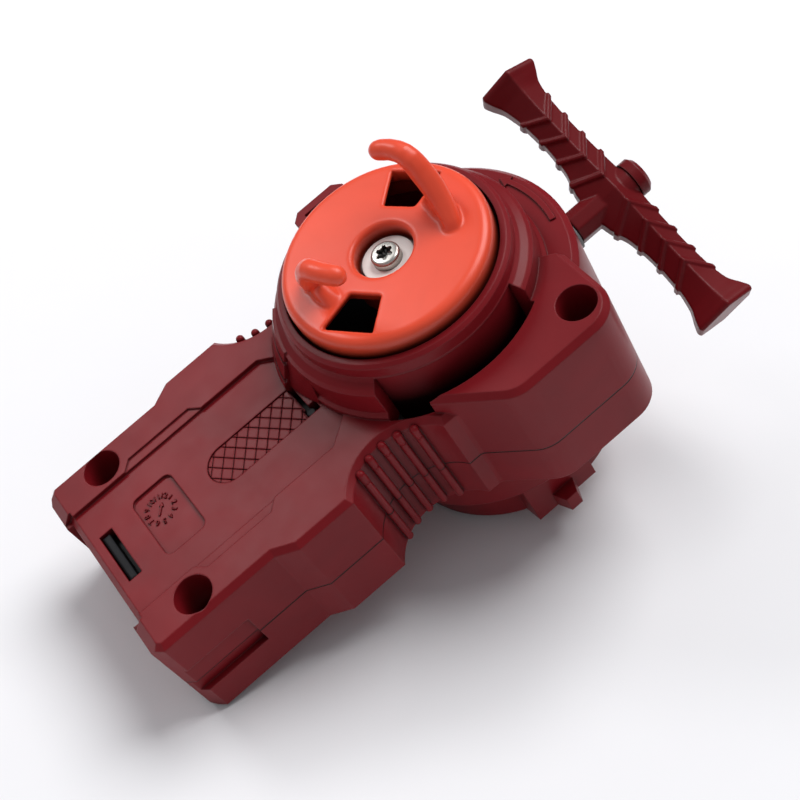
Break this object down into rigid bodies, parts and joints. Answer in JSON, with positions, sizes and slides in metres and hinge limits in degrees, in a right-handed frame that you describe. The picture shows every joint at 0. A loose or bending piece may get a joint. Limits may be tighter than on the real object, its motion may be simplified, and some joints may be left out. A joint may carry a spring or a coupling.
{
  "type": "spinning top launcher",
  "caption": "Hand-held pull-string launcher for spinning tops: a flat grip, a round drive housing, a turning disc with curved hooks and a bar handle on a string.",
  "frame": {"origin": "on the spin axis, on the rear face of the drum that the launcher rests on", "axes": "+Z along the spin axis towards the hooks, +X towards the pull handle, the grip along -X"},
  "size_m": [0.113, 0.0618, 0.067],
  "materials": {
    "maroon_plastic": "satin",
    "red_plastic": "satin",
    "black_plastic": "satin",
    "grey_plastic": "satin",
    "pale_plastic": "matte",
    "steel": "bright",
    "spring_steel": "blued",
    "string": "braided"
  },
  "bodies": {
    "housing": {"front_housing": "maroon_plastic", "rear_housing": "maroon_plastic", "rear_cap": "maroon_plastic", "housing_screws": "steel", "main_axle": "steel", "thrust_washer": "pale_plastic", "power_spring": "spring_steel", "string_guide": "grey_plastic", "string_lead": "string", "lock_spring": "steel"},
    "dial": {"selector_dial": "maroon_plastic"},
    "reel": {"string_reel": "grey_plastic", "wound_string": "string", "clutch_plate": "grey_plastic"},
    "hub": {"drive_hub": "black_plastic", "hook_disc": "red_plastic", "centre_washer": "pale_plastic", "centre_screw": "steel"},
    "handle": {"pull_handle": "maroon_plastic", "handle_plug": "maroon_plastic", "string_knot": "string"},
    "bar": {"lock_bar": "black_plastic"}
  },
  "joints": [
    {"name": "handle_pull", "type": "slide", "parent": "housing", "child": "handle", "axis": [1, 0, 0], "range_m": [0, 0.45], "stiffness_N_per_m": 10, "springref_m": -0.2, "deforming": ["string_lead"]},
    {"name": "reel_spin", "type": "hinge", "parent": "housing", "child": "reel", "pos_m": [0, 0, 0.0281], "axis": [0, 0, 1], "range_deg": [0, 1980]},
    {"name": "hub_spin", "type": "hinge", "parent": "housing", "child": "hub", "pos_m": [0, 0, 0.045], "axis": [0, 0, 1], "range_deg": [0, 1980]},
    {"name": "dial_turn", "type": "hinge", "parent": "housing", "child": "dial", "pos_m": [0.0026, 0, 0.005], "axis": [0, 0, 1], "range_deg": [0, 40]},
    {"name": "bar_slide", "type": "slide", "parent": "housing", "child": "bar", "axis": [1, 0, 0], "range_m": [0, 0.0008], "stiffness_N_per_m": 300, "springref_m": -0.002, "deforming": ["lock_spring"]}
  ],
  "couplings": [
    {"joint": "reel_spin", "follows": "handle_pull", "rad_per_m": 76.336},
    {"joint": "hub_spin", "follows": "handle_pull", "rad_per_m": 76.336}
  ]
}
